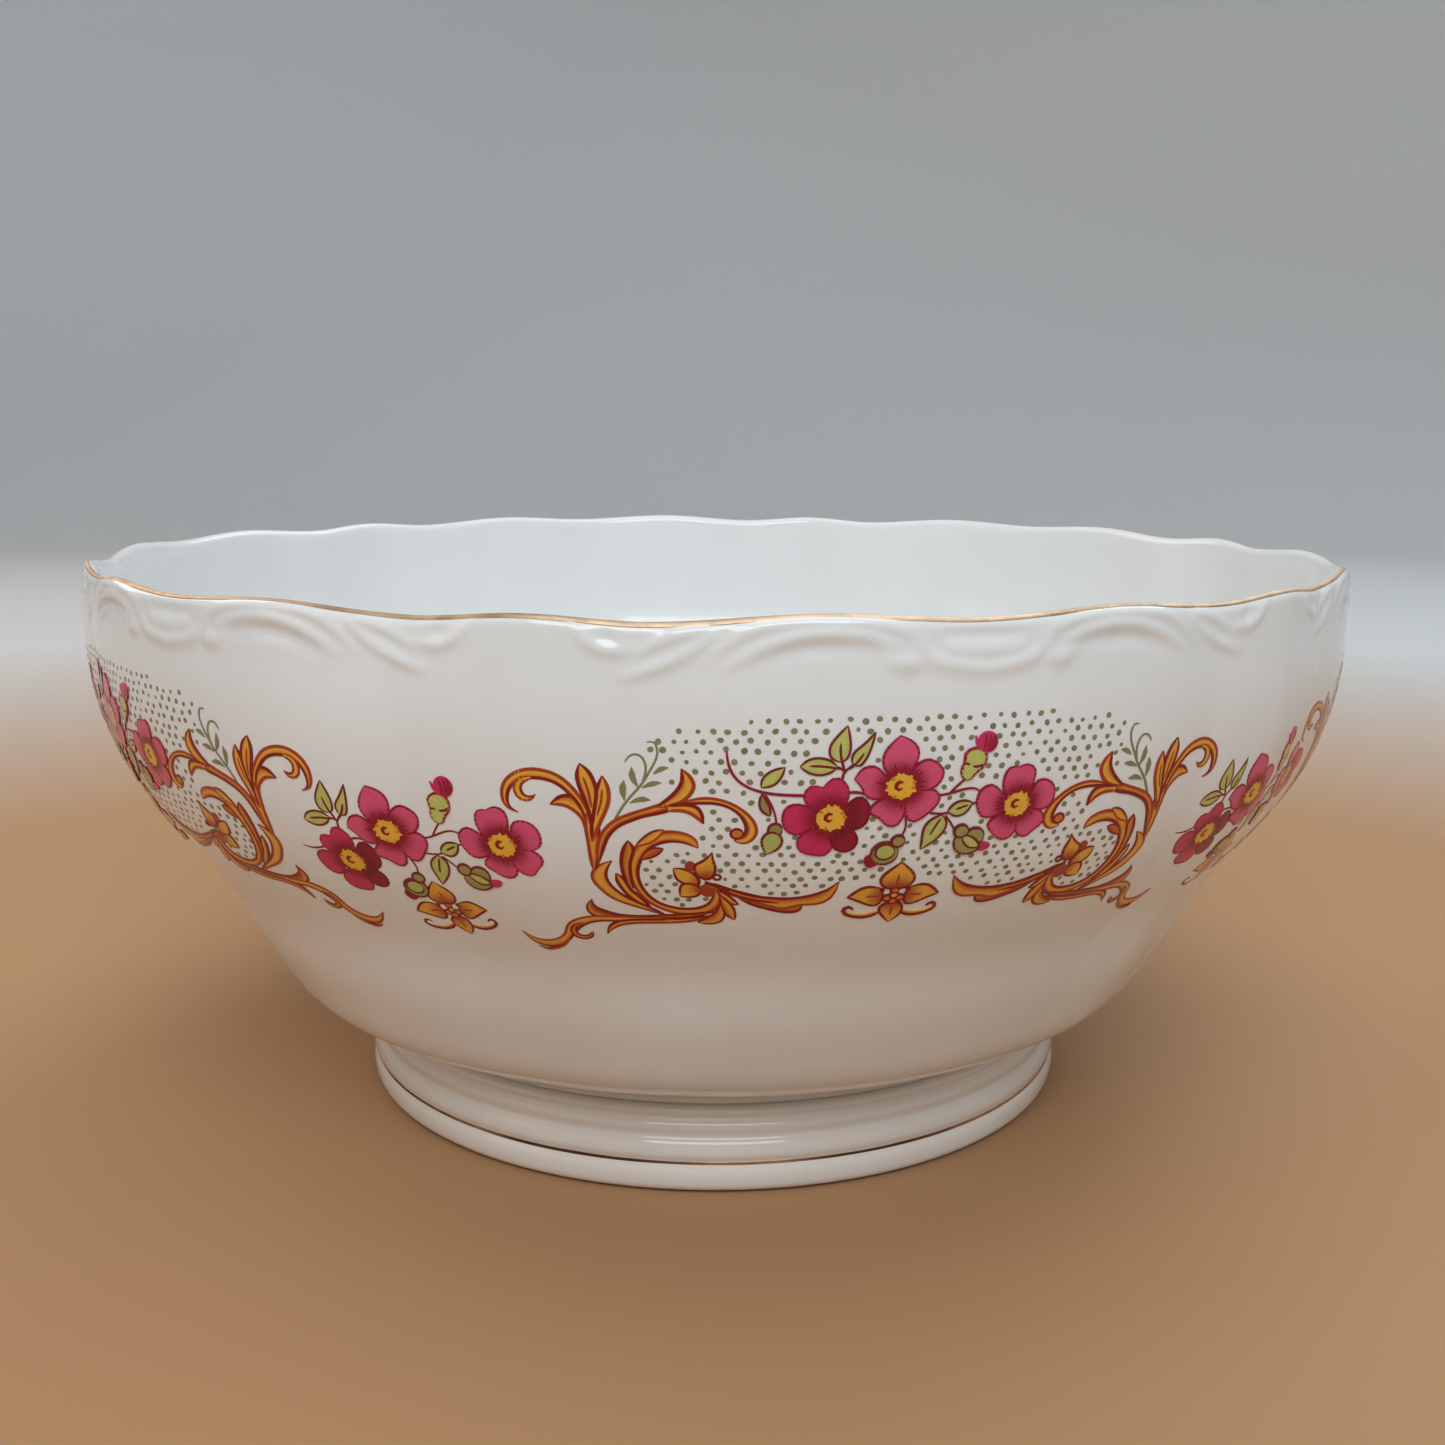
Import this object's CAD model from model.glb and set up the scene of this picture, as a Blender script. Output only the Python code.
import math
import random

import bpy
import numpy as np
from mathutils import Matrix


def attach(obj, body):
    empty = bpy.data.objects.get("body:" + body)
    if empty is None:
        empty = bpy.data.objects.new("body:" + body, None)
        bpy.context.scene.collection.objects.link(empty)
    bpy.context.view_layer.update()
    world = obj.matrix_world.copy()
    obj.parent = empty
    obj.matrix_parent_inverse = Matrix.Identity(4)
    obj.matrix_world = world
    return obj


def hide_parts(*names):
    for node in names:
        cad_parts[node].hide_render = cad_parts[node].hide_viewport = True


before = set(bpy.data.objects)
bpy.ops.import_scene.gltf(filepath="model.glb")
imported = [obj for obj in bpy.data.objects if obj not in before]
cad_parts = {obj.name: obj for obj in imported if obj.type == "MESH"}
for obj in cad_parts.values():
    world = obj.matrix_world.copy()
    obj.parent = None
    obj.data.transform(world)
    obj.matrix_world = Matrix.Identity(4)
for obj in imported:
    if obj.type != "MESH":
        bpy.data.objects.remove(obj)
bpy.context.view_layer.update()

# Porcelain serving bowl. Shapes are worked out in millimetres in the CAD's own frame, and go to
# metres when a mesh is made. Azimuths run from the front (-Y), positive towards +X.
MM = 0.001

# ---- the moulded wall, as in the CAD part ----
RIM_RADIUS = 126.7
RIM_HEIGHT = 111.0
LIP_THICKNESS = 3.2
LIP_ROUND = 1.8
BASE_RADIUS = 72.6
BASE_HEIGHT = 16.5
FLOOR_HEIGHT = 21.5
LOBES = 6
LOBE_FRONT = 17.5
PANEL_HALF_ANGLE = 21.0
PANEL_CROWN = 0.9
CREASE_DEPTH = 0.9
PILASTER_RIDGE = 0.5
# The lip's scallops: (degrees from the middle of a panel, how far the lip stands above RIM_HEIGHT)
RIM_SCALLOPS = [(0.0, 0.1), (10.5, 1.0), (22.0, -0.3), (30.0, 0.7)]
LOBES_FADE_IN = (17, 25)  # the base is round, and between these heights the lobes begin
LOBES_DEEPEN = (25, 60)  # from LOW_LOBE_SHARE of their depth to all of it
LOW_LOBE_SHARE = 0.25
SCALLOPS_FADE_IN = (100, 109)  # between these heights the lip's scallops begin

# Sections, as (radius, height) from the base up for the outside and from the lip down for the inside
OUTER_WALL = [
    (BASE_RADIUS, BASE_HEIGHT), (80.0, 21.0), (90.0, 26.4), (95.8, 34.0), (101.0, 42.5), (106.6, 52.5),
    (114.1, 62.5), (122.0, 75.0), (126.0, 88.0), (127.0, 100.0), (RIM_RADIUS, RIM_HEIGHT - LIP_ROUND),
]
INNER_WALL = [
    (RIM_RADIUS - LIP_THICKNESS, RIM_HEIGHT - LIP_ROUND), (123.4, 100.0), (122.3, 88.0), (118.1, 75.0),
    (110.2, 62.5), (102.4, 52.5), (96.6, 42.5), (90.4, 34.5), (80.0, 27.5), (64.0, 23.2),
    (44.0, FLOOR_HEIGHT),
]
FOOT_OUTSIDE = [
    (72.6, 0.0), (74.6, 1.0), (75.2, 2.8), (75.0, 4.9), (74.55, 6.05), (75.05, 7.3), (75.1, 8.6),
    (74.6, 10.0), (74.0, 10.9), (74.2, 12.0), (74.1, 13.2), (73.4, 14.4), (73.8, 15.3), (73.3, 16.1),
    (BASE_RADIUS, BASE_HEIGHT),
]
STANDING_FACE_TOP = 0.4  # the bare standing face lies below this height
FOOT_INSIDE = [(66.0, BASE_HEIGHT), (66.6, 9.0), (68.4, 2.2), (70.4, 0.0)]


# ---- curves and numbers ----
def smooth_curve(points, count, closed=False):
    """count points of a smooth curve through the given ones. A point given twice is a corner."""
    points = [tuple(map(float, p)) for p in points]
    runs = [[points[0]]]
    for point in points[1:]:
        if point == runs[-1][-1]:
            runs.append([point])
        else:
            runs[-1].append(point)
    if len(runs) == 1:
        return spline_run(runs[0], count, closed)
    if closed:
        runs[-1] += runs[0]
        runs = runs[1:]
    lengths = [np.linalg.norm(np.diff(run, axis=0), axis=1).sum() for run in runs]
    pieces = []
    for run, length in zip(runs, lengths):
        steps = max(3, round(count * length / sum(lengths)))
        pieces.append(spline_run(run, steps + 1)[:-1])
    if not closed:
        pieces.append(np.array([runs[-1][-1]]))
    return np.concatenate(pieces)


def spline_run(points, count, closed=False):
    """Cubic through points, with chord-length knots, at count evenly spaced places."""
    p = np.array(points, float)
    if closed:
        wrap = 3
        p = np.concatenate([p[-wrap:], p, p[:wrap + 1]])
    if len(p) == 2:
        t = np.linspace(0, 1, count)[:, None]
        return p[0] * (1 - t) + p[1] * t
    chord = np.linalg.norm(np.diff(p, axis=0), axis=1) ** 0.75
    knots = np.concatenate([[0], np.cumsum(chord)])
    h = np.diff(knots)
    n = len(p)
    system = np.eye(n)
    right = np.zeros_like(p)
    slope = np.diff(p, axis=0) / h[:, None]
    for i in range(1, n - 1):
        system[i, i - 1:i + 2] = h[i - 1], 2 * (h[i - 1] + h[i]), h[i]
        right[i] = 6 * (slope[i] - slope[i - 1])
    bend = np.linalg.solve(system, right)
    low, high = (knots[wrap], knots[n - wrap - 1]) if closed else (0.0, knots[-1])
    fine = cubic_at(np.linspace(low, high, 16 * count), knots, p, bend, h)
    walked = np.concatenate([[0], np.cumsum(np.linalg.norm(np.diff(fine, axis=0), axis=1))])
    stops = np.linspace(0, walked[-1], count + 1)[:-1] if closed else np.linspace(0, walked[-1], count)
    return np.stack([np.interp(stops, walked, fine[:, k]) for k in range(p.shape[1])], axis=1)


def cubic_at(t, knots, p, bend, h):
    """Places of the cubic at knot values t."""
    i = np.clip(np.searchsorted(knots, t, side="right") - 1, 0, len(h) - 1)
    a = ((knots[i + 1] - t) / h[i])[:, None]
    b = 1 - a
    step = (h[i] ** 2 / 6)[:, None]
    return a * p[i] + b * p[i + 1] + ((a**3 - a) * bend[i] + (b**3 - b) * bend[i + 1]) * step


def ramp(value, low, high):
    """0 up to low, 1 from high, and a smooth rise between."""
    t = np.clip((value - low) / (high - low), 0, 1)
    return t * t * (3 - 2 * t)


def arc_lengths(path):
    """Distance walked to each point of a path."""
    return np.concatenate([[0], np.cumsum(np.linalg.norm(np.diff(path, axis=0), axis=1))])


def steps_along(points, gap, least):
    """How many samples, about gap apart, a path needs."""
    return max(least, round(arc_lengths(np.array(points, float))[-1] / gap))


def spread_along(values, count):
    """count numbers that run evenly through a short list of values."""
    return np.interp(np.linspace(0, 1, count), np.linspace(0, 1, len(values)), values)


def lip_point(angle, swell=0.0):
    """Radius and height on the rounded lip, at an angle from its outer side (0) to its inner (180)."""
    a = np.radians(angle)
    r = RIM_RADIUS - LIP_THICKNESS / 2 + (LIP_THICKNESS / 2 + swell) * np.cos(a)
    z = RIM_HEIGHT - LIP_ROUND + (LIP_ROUND + swell) * np.sin(a)
    return r, z


def half_lip(end, steps=24):
    """Section of the lip from its top to its outer side (0) or its inner side (180)."""
    return np.stack(lip_point(np.linspace(90, end, steps)), axis=1)


# The outer section from the middle of the lip down to the base. "Down" is measured along it in
# millimetres, from near the top of the lip: the prints and the relief are drawn in (across, down).
DOWN_AT_LIP_TOP = -0.62
OUTER_PATH = np.concatenate([half_lip(0)[:-1], smooth_curve(OUTER_WALL, 400)[::-1]])
OUTER_DOWN = arc_lengths(OUTER_PATH) + DOWN_AT_LIP_TOP
INNER_PATH = np.concatenate([half_lip(180)[:-1], smooth_curve(INNER_WALL, 300)])
INNER_DOWN = arc_lengths(INNER_PATH)
ACROSS_RADIUS = 120.0  # a millimetre across stands for this turn of the bowl
PRINT_TURNS = (0.0, 70.4, 143.0, 217.0, 291.2)  # laid on by hand, so not quite evenly


def unit_angle(azimuth):
    """Degrees from the middle of the nearest panel."""
    pitch = 360 / LOBES
    return (azimuth - LOBE_FRONT + pitch / 2) % pitch - pitch / 2


def lobe_offset(azimuth):
    """Radial offset of the wall: crowned panels with a ridged pilaster between each two."""
    ridge_round, crease_round = 0.55, 0.12
    angle = np.abs(unit_angle(azimuth))
    panel = PANEL_CROWN - (PANEL_CROWN + CREASE_DEPTH) * (angle / PANEL_HALF_ANGLE) ** 2
    half = 180 / LOBES
    from_ridge = np.sqrt((half - angle) ** 2 + ridge_round**2) - 0.5 * ridge_round
    slope = (CREASE_DEPTH + PILASTER_RIDGE) / (half - PANEL_HALF_ANGLE)
    pilaster = PILASTER_RIDGE - slope * from_ridge
    gap = panel - pilaster
    return 0.5 * (panel + pilaster + np.sqrt(gap**2 + crease_round**2))


def scallop(azimuth):
    """How far the lip stands above its plain height."""
    angle = np.abs(unit_angle(azimuth))
    lift = np.full_like(angle, RIM_SCALLOPS[0][1])
    for (a, low), (b, high) in zip(RIM_SCALLOPS, RIM_SCALLOPS[1:]):
        lift += (high - low) * ramp(angle, a, b)
    return lift


def wall_point(radius, height, azimuth):
    """Points of the moulded wall from its plain section."""
    deepening = LOW_LOBE_SHARE + (1 - LOW_LOBE_SHARE) * ramp(height, *LOBES_DEEPEN)
    depth = ramp(height, *LOBES_FADE_IN) * deepening
    r = radius + lobe_offset(azimuth) * depth
    z = height + scallop(azimuth) * ramp(height, *SCALLOPS_FADE_IN)
    a = np.radians(azimuth)
    return np.stack([r * np.sin(a), -r * np.cos(a), z], axis=-1)


def outer_point(azimuth, down):
    """Points of the outer wall, so far down its section."""
    r = np.interp(down, OUTER_DOWN, OUTER_PATH[:, 0])
    z = np.interp(down, OUTER_DOWN, OUTER_PATH[:, 1])
    return wall_point(r, z, azimuth)


def outer_surface(azimuth, down, proud):
    """Points of the outer wall, proud millimetres off it along its normal."""
    step_a, step_d = 0.05, 0.1
    across = outer_point(azimuth + step_a, down) - outer_point(azimuth - step_a, down)
    along = outer_point(azimuth, down + step_d) - outer_point(azimuth, down - step_d)
    normal = np.cross(along, across)
    normal /= np.linalg.norm(normal, axis=-1, keepdims=True)
    return outer_point(azimuth, down) + normal * np.asarray(proud)[..., None]


# ---- the relief under the lip ----
# Each stroke is a moulded ridge: points (degrees from the middle of a panel, millimetres down) for
# one half of the panel, its half width, and its heights from start to end. Both halves mirror.
RELIEF_RADIUS = 126.7
RELIEF_FADES_IN = (0.0, 1.4)  # millimetres down from the lip
RELIEF = [
    ([(0, 7.3), (2.2, 6.7), (4.0, 5.3), (4.4, 4.0)], 1.15, [0.4, 0.4, 0.4, 0.2]),
    ([(0, 4.8), (2.4, 4.7)], 1.2, [0.3, 0.2]),
    ([(4.7, 4.6), (4.7, 3.2), (5.6, 2.2), (7.0, 1.4), (9.0, 1.0), (12.0, 1.0), (14.8, 1.8), (16.5, 3.3),
      (17.9, 5.6)], 0.95, [0.2, 0.3, 0.35, 0.35, 0.35, 0.35, 0.35, 0.35, 0.15]),
    ([(6.0, 4.4), (7.8, 3.2), (10.0, 2.85), (12.0, 3.1), (13.6, 3.8), (15.2, 5.0), (16.9, 6.9)],
     0.95, [0.2, 0.35, 0.45, 0.45, 0.45, 0.35, 0.1]),
    ([(4.8, 6.3), (5.5, 6.5), (6.3, 6.0)], 1.2, [0.35, 0.5, 0.25]),
    ([(17.8, 2.6), (19.4, 4.7), (21.4, 6.7), (23.2, 7.9)], 1.05, [0.25, 0.4, 0.45, 0.2]),
    ([(18.2, 1.5), (20.4, 2.4), (22.2, 4.4), (22.8, 5.6)], 0.9, [0.2, 0.35, 0.35, 0.1]),
    ([(22.9, 4.1), (24.4, 4.3), (25.8, 3.1), (26.7, 1.3)], 0.95, [0.25, 0.4, 0.4, 0.1]),
]
RELIEF_HOLLOWS = [
    ([(0, 2.5), (2.4, 2.6)], 0.95, [0.35, 0.25]),
    ([(7.6, 5.1), (10.0, 4.75), (12.5, 5.1), (14.6, 6.4)], 1.1, [0.2, 0.4, 0.35, 0.15]),
    ([(24.2, 2.4), (24.4, 2.2)], 0.9, [0.25, 0.25]),
]


def stroke_field(across, down, strokes):
    """Greatest height of any stroke at each place, rounded like a ridge pressed in a mould."""
    field = np.zeros_like(across)
    for points, half_width, heights in strokes:
        scaled = [(math.radians(a) * RELIEF_RADIUS, d) for a, d in points]
        line = smooth_curve(scaled, 28)
        gap = np.hypot(across[..., None] - line[:, 0], down[..., None] - line[:, 1])
        bumps = spread_along(heights, len(line)) * np.exp(-((gap / half_width) ** 2) * 0.9)
        field = np.maximum(field, bumps.max(axis=-1))
    return field


def relief(azimuth, down):
    """How far the moulded relief stands off the wall."""
    across = np.radians(np.abs(unit_angle(azimuth))) * RELIEF_RADIUS
    raised = stroke_field(across, down, RELIEF)
    sunk = stroke_field(across, down, RELIEF_HOLLOWS)
    return (raised - sunk * (1 - raised)) * ramp(down, *RELIEF_FADES_IN)


# ---- meshes ----
def placed(name, data):
    """A new object in the scene."""
    thing = bpy.data.objects.new(name, data)
    bpy.context.scene.collection.objects.link(thing)
    return thing


def smooth_mesh(name, points, faces, material):
    """A smooth-shaded mesh in the scene, from points in metres."""
    mesh = bpy.data.meshes.new(name)
    mesh.from_pydata([tuple(p) for p in points.tolist()], [], faces)
    mesh.update()
    mesh.shade_smooth()
    mesh.materials.append(material)
    return placed(name, mesh)


def make_piece(name, points, faces, material, node):
    """A piece from millimetre points, standing for a CAD node."""
    piece = smooth_mesh(name, points * MM, faces, material)
    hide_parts(node)
    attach(piece, "root")
    return piece


class RingMesh:
    """A surface grown ring by ring. Where a ring has half the points of the last, they are joined."""

    def __init__(self):
        self.points = []
        self.faces = []
        self.first = self.last = None

    def added(self, points):
        """Numbers of new points."""
        start = sum(len(p) for p in self.points)
        self.points.append(np.asarray(points))
        return list(range(start, start + len(points)))

    def ring(self, points):
        here = self.added(points)
        if self.last:
            self.join(self.last, here)
        self.first = self.first or here
        self.last = here

    def join(self, a, b):
        n, m = len(a), len(b)
        if n == m:
            self.faces += [(a[i], a[(i + 1) % n], b[(i + 1) % n], b[i]) for i in range(n)]
        elif n == 2 * m:
            for i in range(m):
                self.faces.append((a[2 * i], a[2 * i + 1], b[i]))
                self.faces.append((a[2 * i + 1], b[(i + 1) % m], b[i]))
                self.faces.append((a[2 * i + 1], a[(2 * i + 2) % n], b[(i + 1) % m]))
        else:
            for i in range(n):
                self.faces.append((a[i], b[(2 * i + 1) % m], b[2 * i]))
                self.faces.append((a[i], a[(i + 1) % n], b[(2 * i + 1) % m]))
                self.faces.append((a[(i + 1) % n], b[(2 * i + 2) % m], b[(2 * i + 1) % m]))

    def fan(self, centre, rim):
        """Close a ring with triangles to a centre."""
        tip = self.added([centre])[0]
        self.faces += [(a, b, tip) for a, b in zip(rim, rim[1:] + rim[:1])]

    def join_ends(self):
        self.join(self.last, self.first)

    def all_points(self):
        return np.concatenate(self.points)


def azimuths(count):
    """Evenly spaced degrees round the bowl, from the middle of a panel."""
    return LOBE_FRONT + np.arange(count) * 360 / count


def bowl_mesh():
    """Outside from under the base up to the lip, then down the inside to the floor."""
    coarse, fine, finest = 360, 720, 1440  # points on a ring
    relief_end = 10.0  # millimetres down, with no relief below it
    body = RingMesh()

    def flat_rings(sizes, height):
        for r, n in sizes:
            body.ring(wall_point(np.full(n, float(r)), np.full(n, height), azimuths(n)))

    flat_rings(((8, 45), (20, 90), (36, 180), (52, coarse), (66, coarse)), BASE_HEIGHT)
    low_wall = np.linspace(OUTER_DOWN[-1], 61, 26)  # closer rings, because it curves more
    high_wall = np.linspace(59.4, 11.2, 31)
    for i, down in enumerate([*low_wall, *high_wall]):
        n = fine if i else coarse
        body.ring(outer_point(azimuths(n), np.full(n, down)))
    for down in np.linspace(relief_end, DOWN_AT_LIP_TOP, 25):
        turn = azimuths(finest)
        at = np.full(finest, down)
        body.ring(outer_surface(turn, at, relief(turn, at)) if down > 0 else outer_point(turn, at))
    insides = [(0.6, fine), (1.2, fine), (1.8, fine), (2.5, coarse)]
    insides += [(walked, coarse) for walked in np.linspace(4.5, INNER_DOWN[-1], 42)]
    for walked, n in insides:
        r = np.interp(walked, INNER_DOWN, INNER_PATH[:, 0])
        z = np.interp(walked, INNER_DOWN, INNER_PATH[:, 1])
        body.ring(wall_point(np.full(n, r), np.full(n, z), azimuths(n)))
    flat_rings(((34, 180), (22, 90), (10, 45)), FLOOR_HEIGHT)
    body.fan((0, 0, FLOOR_HEIGHT), body.last)
    body.fan((0, 0, BASE_HEIGHT), body.first[::-1])
    return body


def turned_ring(radius, height, count):
    """Ring of a turned shape. Its radius and height may change along it."""
    a = np.radians(azimuths(count))
    return np.stack([radius * np.sin(a), -radius * np.cos(a), height + 0 * a], axis=1)


def foot_mesh():
    """Hollow foot: up its moulded outside, across the top, down the inside and the standing face."""
    foot = RingMesh()
    mid_top = [(69.3, BASE_HEIGHT)]
    for r, z in [*smooth_curve(FOOT_OUTSIDE, 66), *mid_top, *smooth_curve(FOOT_INSIDE, 22)]:
        foot.ring(turned_ring(r, z, 360))
    foot.join_ends()
    return foot


def wavering(azimuth, size, seed):
    """A hand-drawn edge: a slow, smooth wander round the bowl."""
    source = random.Random(seed)
    total = np.zeros_like(azimuth)
    for waves in (2, 3, 5, 9, 14, 23, 37):
        total += math.sqrt(1 / waves) * np.sin(np.radians(azimuth * waves) + source.uniform(0, 6.3))
    return size * total


def gold_band(ring_at, proud, steps):
    """Thin closed band. ring_at takes the share of the way across it, and how far it stands proud."""
    sunk, feather = -0.03, 0.4
    band = RingMesh()
    for swell, order in ((proud, range(steps)), (sunk, reversed(range(steps)))):
        for i in order:
            at_edge = i in (0, steps - 1) and swell > 0
            band.ring(ring_at(i / (steps - 1), swell * feather if at_edge else swell))
    band.join_ends()
    return band


def rim_gold_mesh():
    """Gold over the top of the lip, a little uneven where the brush ran."""
    turn = azimuths(1440)
    low = 45 + wavering(turn, 3.4, seed=5)  # its edges, in degrees up from the lip's outer side
    high = 83 + wavering(turn, 2.0, seed=8)

    def ring_at(share, swell):
        return wall_point(*lip_point(low + (high - low) * share, swell), turn)

    return gold_band(ring_at, proud=0.07, steps=7)


def foot_gold_mesh():
    """Gold line brushed in the groove of the foot."""
    n = 720
    low = 5.75 + wavering(azimuths(n), 0.03, seed=11)  # heights of its edges
    high = 6.35 + wavering(azimuths(n), 0.05, seed=12)
    path = smooth_curve(FOOT_OUTSIDE, 400)
    climbing = path[path[:, 1] > 1.0]

    def ring_at(share, swell):
        z = low + (high - low) * share
        return turned_ring(np.interp(z, climbing[:, 1], climbing[:, 0]) + swell, z, n)

    return gold_band(ring_at, proud=0.06, steps=6)


# ---- enamel prints, drawn in (across, down) millimetres ----
def rgb(r, g, b):
    """Linear colour from 0-255 display values."""
    display = np.array([r, g, b]) / 255
    return np.where(display <= 0.04045, display / 12.92, ((display + 0.055) / 1.055) ** 2.4)


OCHRE = rgb(236, 172, 62)
AMBER = rgb(214, 122, 46)
RUST = rgb(172, 60, 30)
MAROON = rgb(136, 16, 20)
CRIMSON = rgb(152, 10, 48)
DEEP_RED = rgb(114, 2, 32)
HEART_RED = rgb(148, 8, 44)
ROSE = rgb(206, 44, 96)
PINK = rgb(222, 84, 124)
LEAF = rgb(196, 200, 112)
LEAF_DARK = rgb(152, 144, 84)
LEAF_EDGE = rgb(122, 26, 34)
YOLK = rgb(240, 184, 62)
SAGE = rgb(138, 134, 96)
OLIVE = rgb(136, 132, 98)

FIRST_PROUD = 0.022  # the lowest tiles stand this far off the glaze, in millimetres
NEXT_PROUD = 0.0007  # and each later one this much further, so that the top one shows
SUNK = -0.03  # their undersides lie this far inside the wall
FRAME_MIDDLE = 27.0  # across: the frame is mirrored here
FLOWER_HEART = (FRAME_MIDDLE, 43.6)
LEFT_ROSE = (15.9, 28.7)


def side_of(line):
    """Unit vectors to the left of a line's way, in (across, down)."""
    way = np.gradient(line, axis=0)
    way /= np.maximum(np.linalg.norm(way, axis=1, keepdims=True), 1e-9)
    return np.stack([way[:, 1], -way[:, 0]], axis=1)


class Print:
    """Thin closed tiles of enamel, later ones over earlier ones."""

    def __init__(self):
        self.tiles = []

    def strip(self, left, right, colours, ends=(1, 1)):
        """Tile between two sampled edges. Colours run from left to right; ends darken its tips."""
        least = 0.05
        middle = (left + right) / 2
        half = (right - left) / 2
        normal = -side_of(middle)
        facing = np.sign(np.sum(half * normal)) or 1.0
        thin = np.linalg.norm(half, axis=1) < least / 2
        half[thin] = normal[thin] * facing * least / 2
        rows, columns = len(middle), len(colours)
        across = np.linspace(-1, 1, columns)
        places = middle[:, None] + half[:, None] * across[None, :, None]
        tone = np.interp(np.linspace(0, 1, rows), [0, 0.3, 0.7, 1], [ends[0], 1, 1, ends[1]])
        tint = np.array(colours)[None] * tone[:, None, None]
        faces = []
        for i in range(rows - 1):
            for j in range(columns - 1):
                k = i * columns + j
                faces.append((k, k + 1, k + columns + 1, k + columns))
        rim = list(range(columns))
        rim += [i * columns + columns - 1 for i in range(1, rows)]
        rim += [(rows - 1) * columns + j for j in range(columns - 2, -1, -1)]
        rim += [i * columns for i in range(rows - 2, 0, -1)]
        self.tiles.append((places.reshape(-1, 2), tint.reshape(-1, 3), faces, rim))

    def stroke(self, line, widths, colours, closed=False):
        """Brush stroke along a smooth line, its widths spread evenly along it."""
        middle = smooth_curve(line, steps_along(line, 0.45, 5), closed)
        if closed:
            middle = np.concatenate([middle, middle[:1]])
        side = side_of(middle)
        if closed:
            side[0] = side[-1] = (side[1] + side[-2]) / np.linalg.norm(side[1] + side[-2])
        edge = side * spread_along(widths, len(middle))[:, None] / 2
        colours = colours if isinstance(colours, list) else [colours, colours]
        self.strip(middle + edge, middle - edge, colours)

    def arm(self, line, widths, colours, left=None, right=None, edge=0.36):
        """Scroll arm: a stroke with a thin line along either side."""
        self.stroke(line, widths, colours)
        middle = smooth_curve(line, steps_along(line, 0.5, 8))
        reach = np.maximum(spread_along(widths, len(middle)) / 2 - edge / 2, 0)[:, None]
        for colour, side in ((left, 1), (right, -1)):
            if colour is not None:
                self.line(middle + side_of(middle) * reach * side, colour, edge)

    def line(self, path, colour, width):
        """Pen line along a sampled path, fine at both ends."""
        path = np.asarray(path, float)
        taper = np.interp(np.linspace(0, 1, len(path)), [0, 0.15, 0.85, 1], [0.6, 1.75, 1.75, 0.6])
        edge = side_of(path) * (width * taper / 2)[:, None]
        self.strip(path + edge, path - edge, [colour, colour])

    def pen(self, points, count, colour, width):
        """Smooth pen line through points."""
        self.line(smooth_curve(points, count), colour, width)

    def ring(self, outline, count, colour, width):
        """Pen line round a closed smooth shape."""
        rim = smooth_curve(outline, count, closed=True)
        self.line(np.concatenate([rim, rim[:1]]), colour, width)

    def band(self, left, right, colours, left_edge, right_edge, width=0.32, ends=(1, 1)):
        """Shape between two edges, with a pen line of a colour along each."""
        count = steps_along(left, 0.5, 6)
        self.strip(smooth_curve(left, count), smooth_curve(right, count), colours, ends)
        self.pen(left, count, left_edge, width)
        self.pen(right, steps_along(right, 0.5, 6), right_edge, width)

    def leaf(self, tip, left, right, base, *look):
        """Band whose two edges both run from its tip to its base."""
        self.band([tip, *left, base], [tip, *right, base], *look)

    def patch(self, outline, colour_at):
        """Closed smooth shape, meshed in rings towards its middle and coloured by place."""
        closed = outline + outline[:1]
        rim = smooth_curve(outline, steps_along(closed, 0.42, 10), closed=True)
        count = len(rim)
        middle = rim.mean(axis=0)
        small = arc_lengths(np.array(closed, float))[-1] <= 5
        shares = (1.0, 0.55) if small else (1.0, 0.8, 0.56, 0.3)
        places = np.concatenate([middle + (rim - middle) * share for share in shares] + [middle[None]])
        faces = []
        for k in range(len(shares) - 1):
            for i in range(count):
                j = (i + 1) % count
                faces.append((k * count + i, k * count + j, (k + 1) * count + j, (k + 1) * count + i))
        last = (len(shares) - 1) * count
        faces += [(last + i, last + (i + 1) % count, len(places) - 1) for i in range(count)]
        self.tiles.append((places, colour_at(places), faces, list(range(count))))

    def oval(self, centre, radii, colour, turn=0.0, count=14):
        """Flat oval, turned by some degrees."""
        a = np.linspace(0, 2 * math.pi, count, endpoint=False)
        x, y = radii[0] * np.cos(a), radii[1] * np.sin(a)
        c, s = math.cos(math.radians(turn)), math.sin(math.radians(turn))
        rim = np.stack([centre[0] + x * c - y * s, centre[1] + x * s + y * c], axis=1)
        places = np.concatenate([rim, [centre]])
        faces = [(i, (i + 1) % count, count) for i in range(count)]
        tint = np.tile(colour, (count + 1, 1))
        self.tiles.append((places, tint, faces, list(range(count))))

    def moved(self, change):
        """A copy with every place changed."""
        copy = Print()
        copy.tiles = [(change(places), tint, faces, rim) for places, tint, faces, rim in self.tiles]
        return copy

    def covers(self, place, margin):
        """True where a tile lies on, or within margin of, a place."""
        for places, _, faces, rim in self.tiles:
            low, high = places.min(axis=0) - margin, places.max(axis=0) + margin
            if np.all(place > low) and np.all(place < high):
                if np.linalg.norm(places - place, axis=1).min() < margin or inside(places[rim], place):
                    return True
        return False


def inside(loop, place):
    """True if a place is inside a closed loop."""
    ahead = np.roll(loop, -1, axis=0)
    crosses = (loop[:, 1] > place[1]) != (ahead[:, 1] > place[1])
    rise = np.where(ahead[:, 1] == loop[:, 1], 1e-9, ahead[:, 1] - loop[:, 1])
    at = loop[:, 0] + (place[1] - loop[:, 1]) / rise * (ahead[:, 0] - loop[:, 0])
    return bool(np.sum(crosses & (at > place[0])) % 2)


def plain(colour):
    """The same colour everywhere."""
    return lambda places: np.tile(colour, (len(places), 1))


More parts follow.
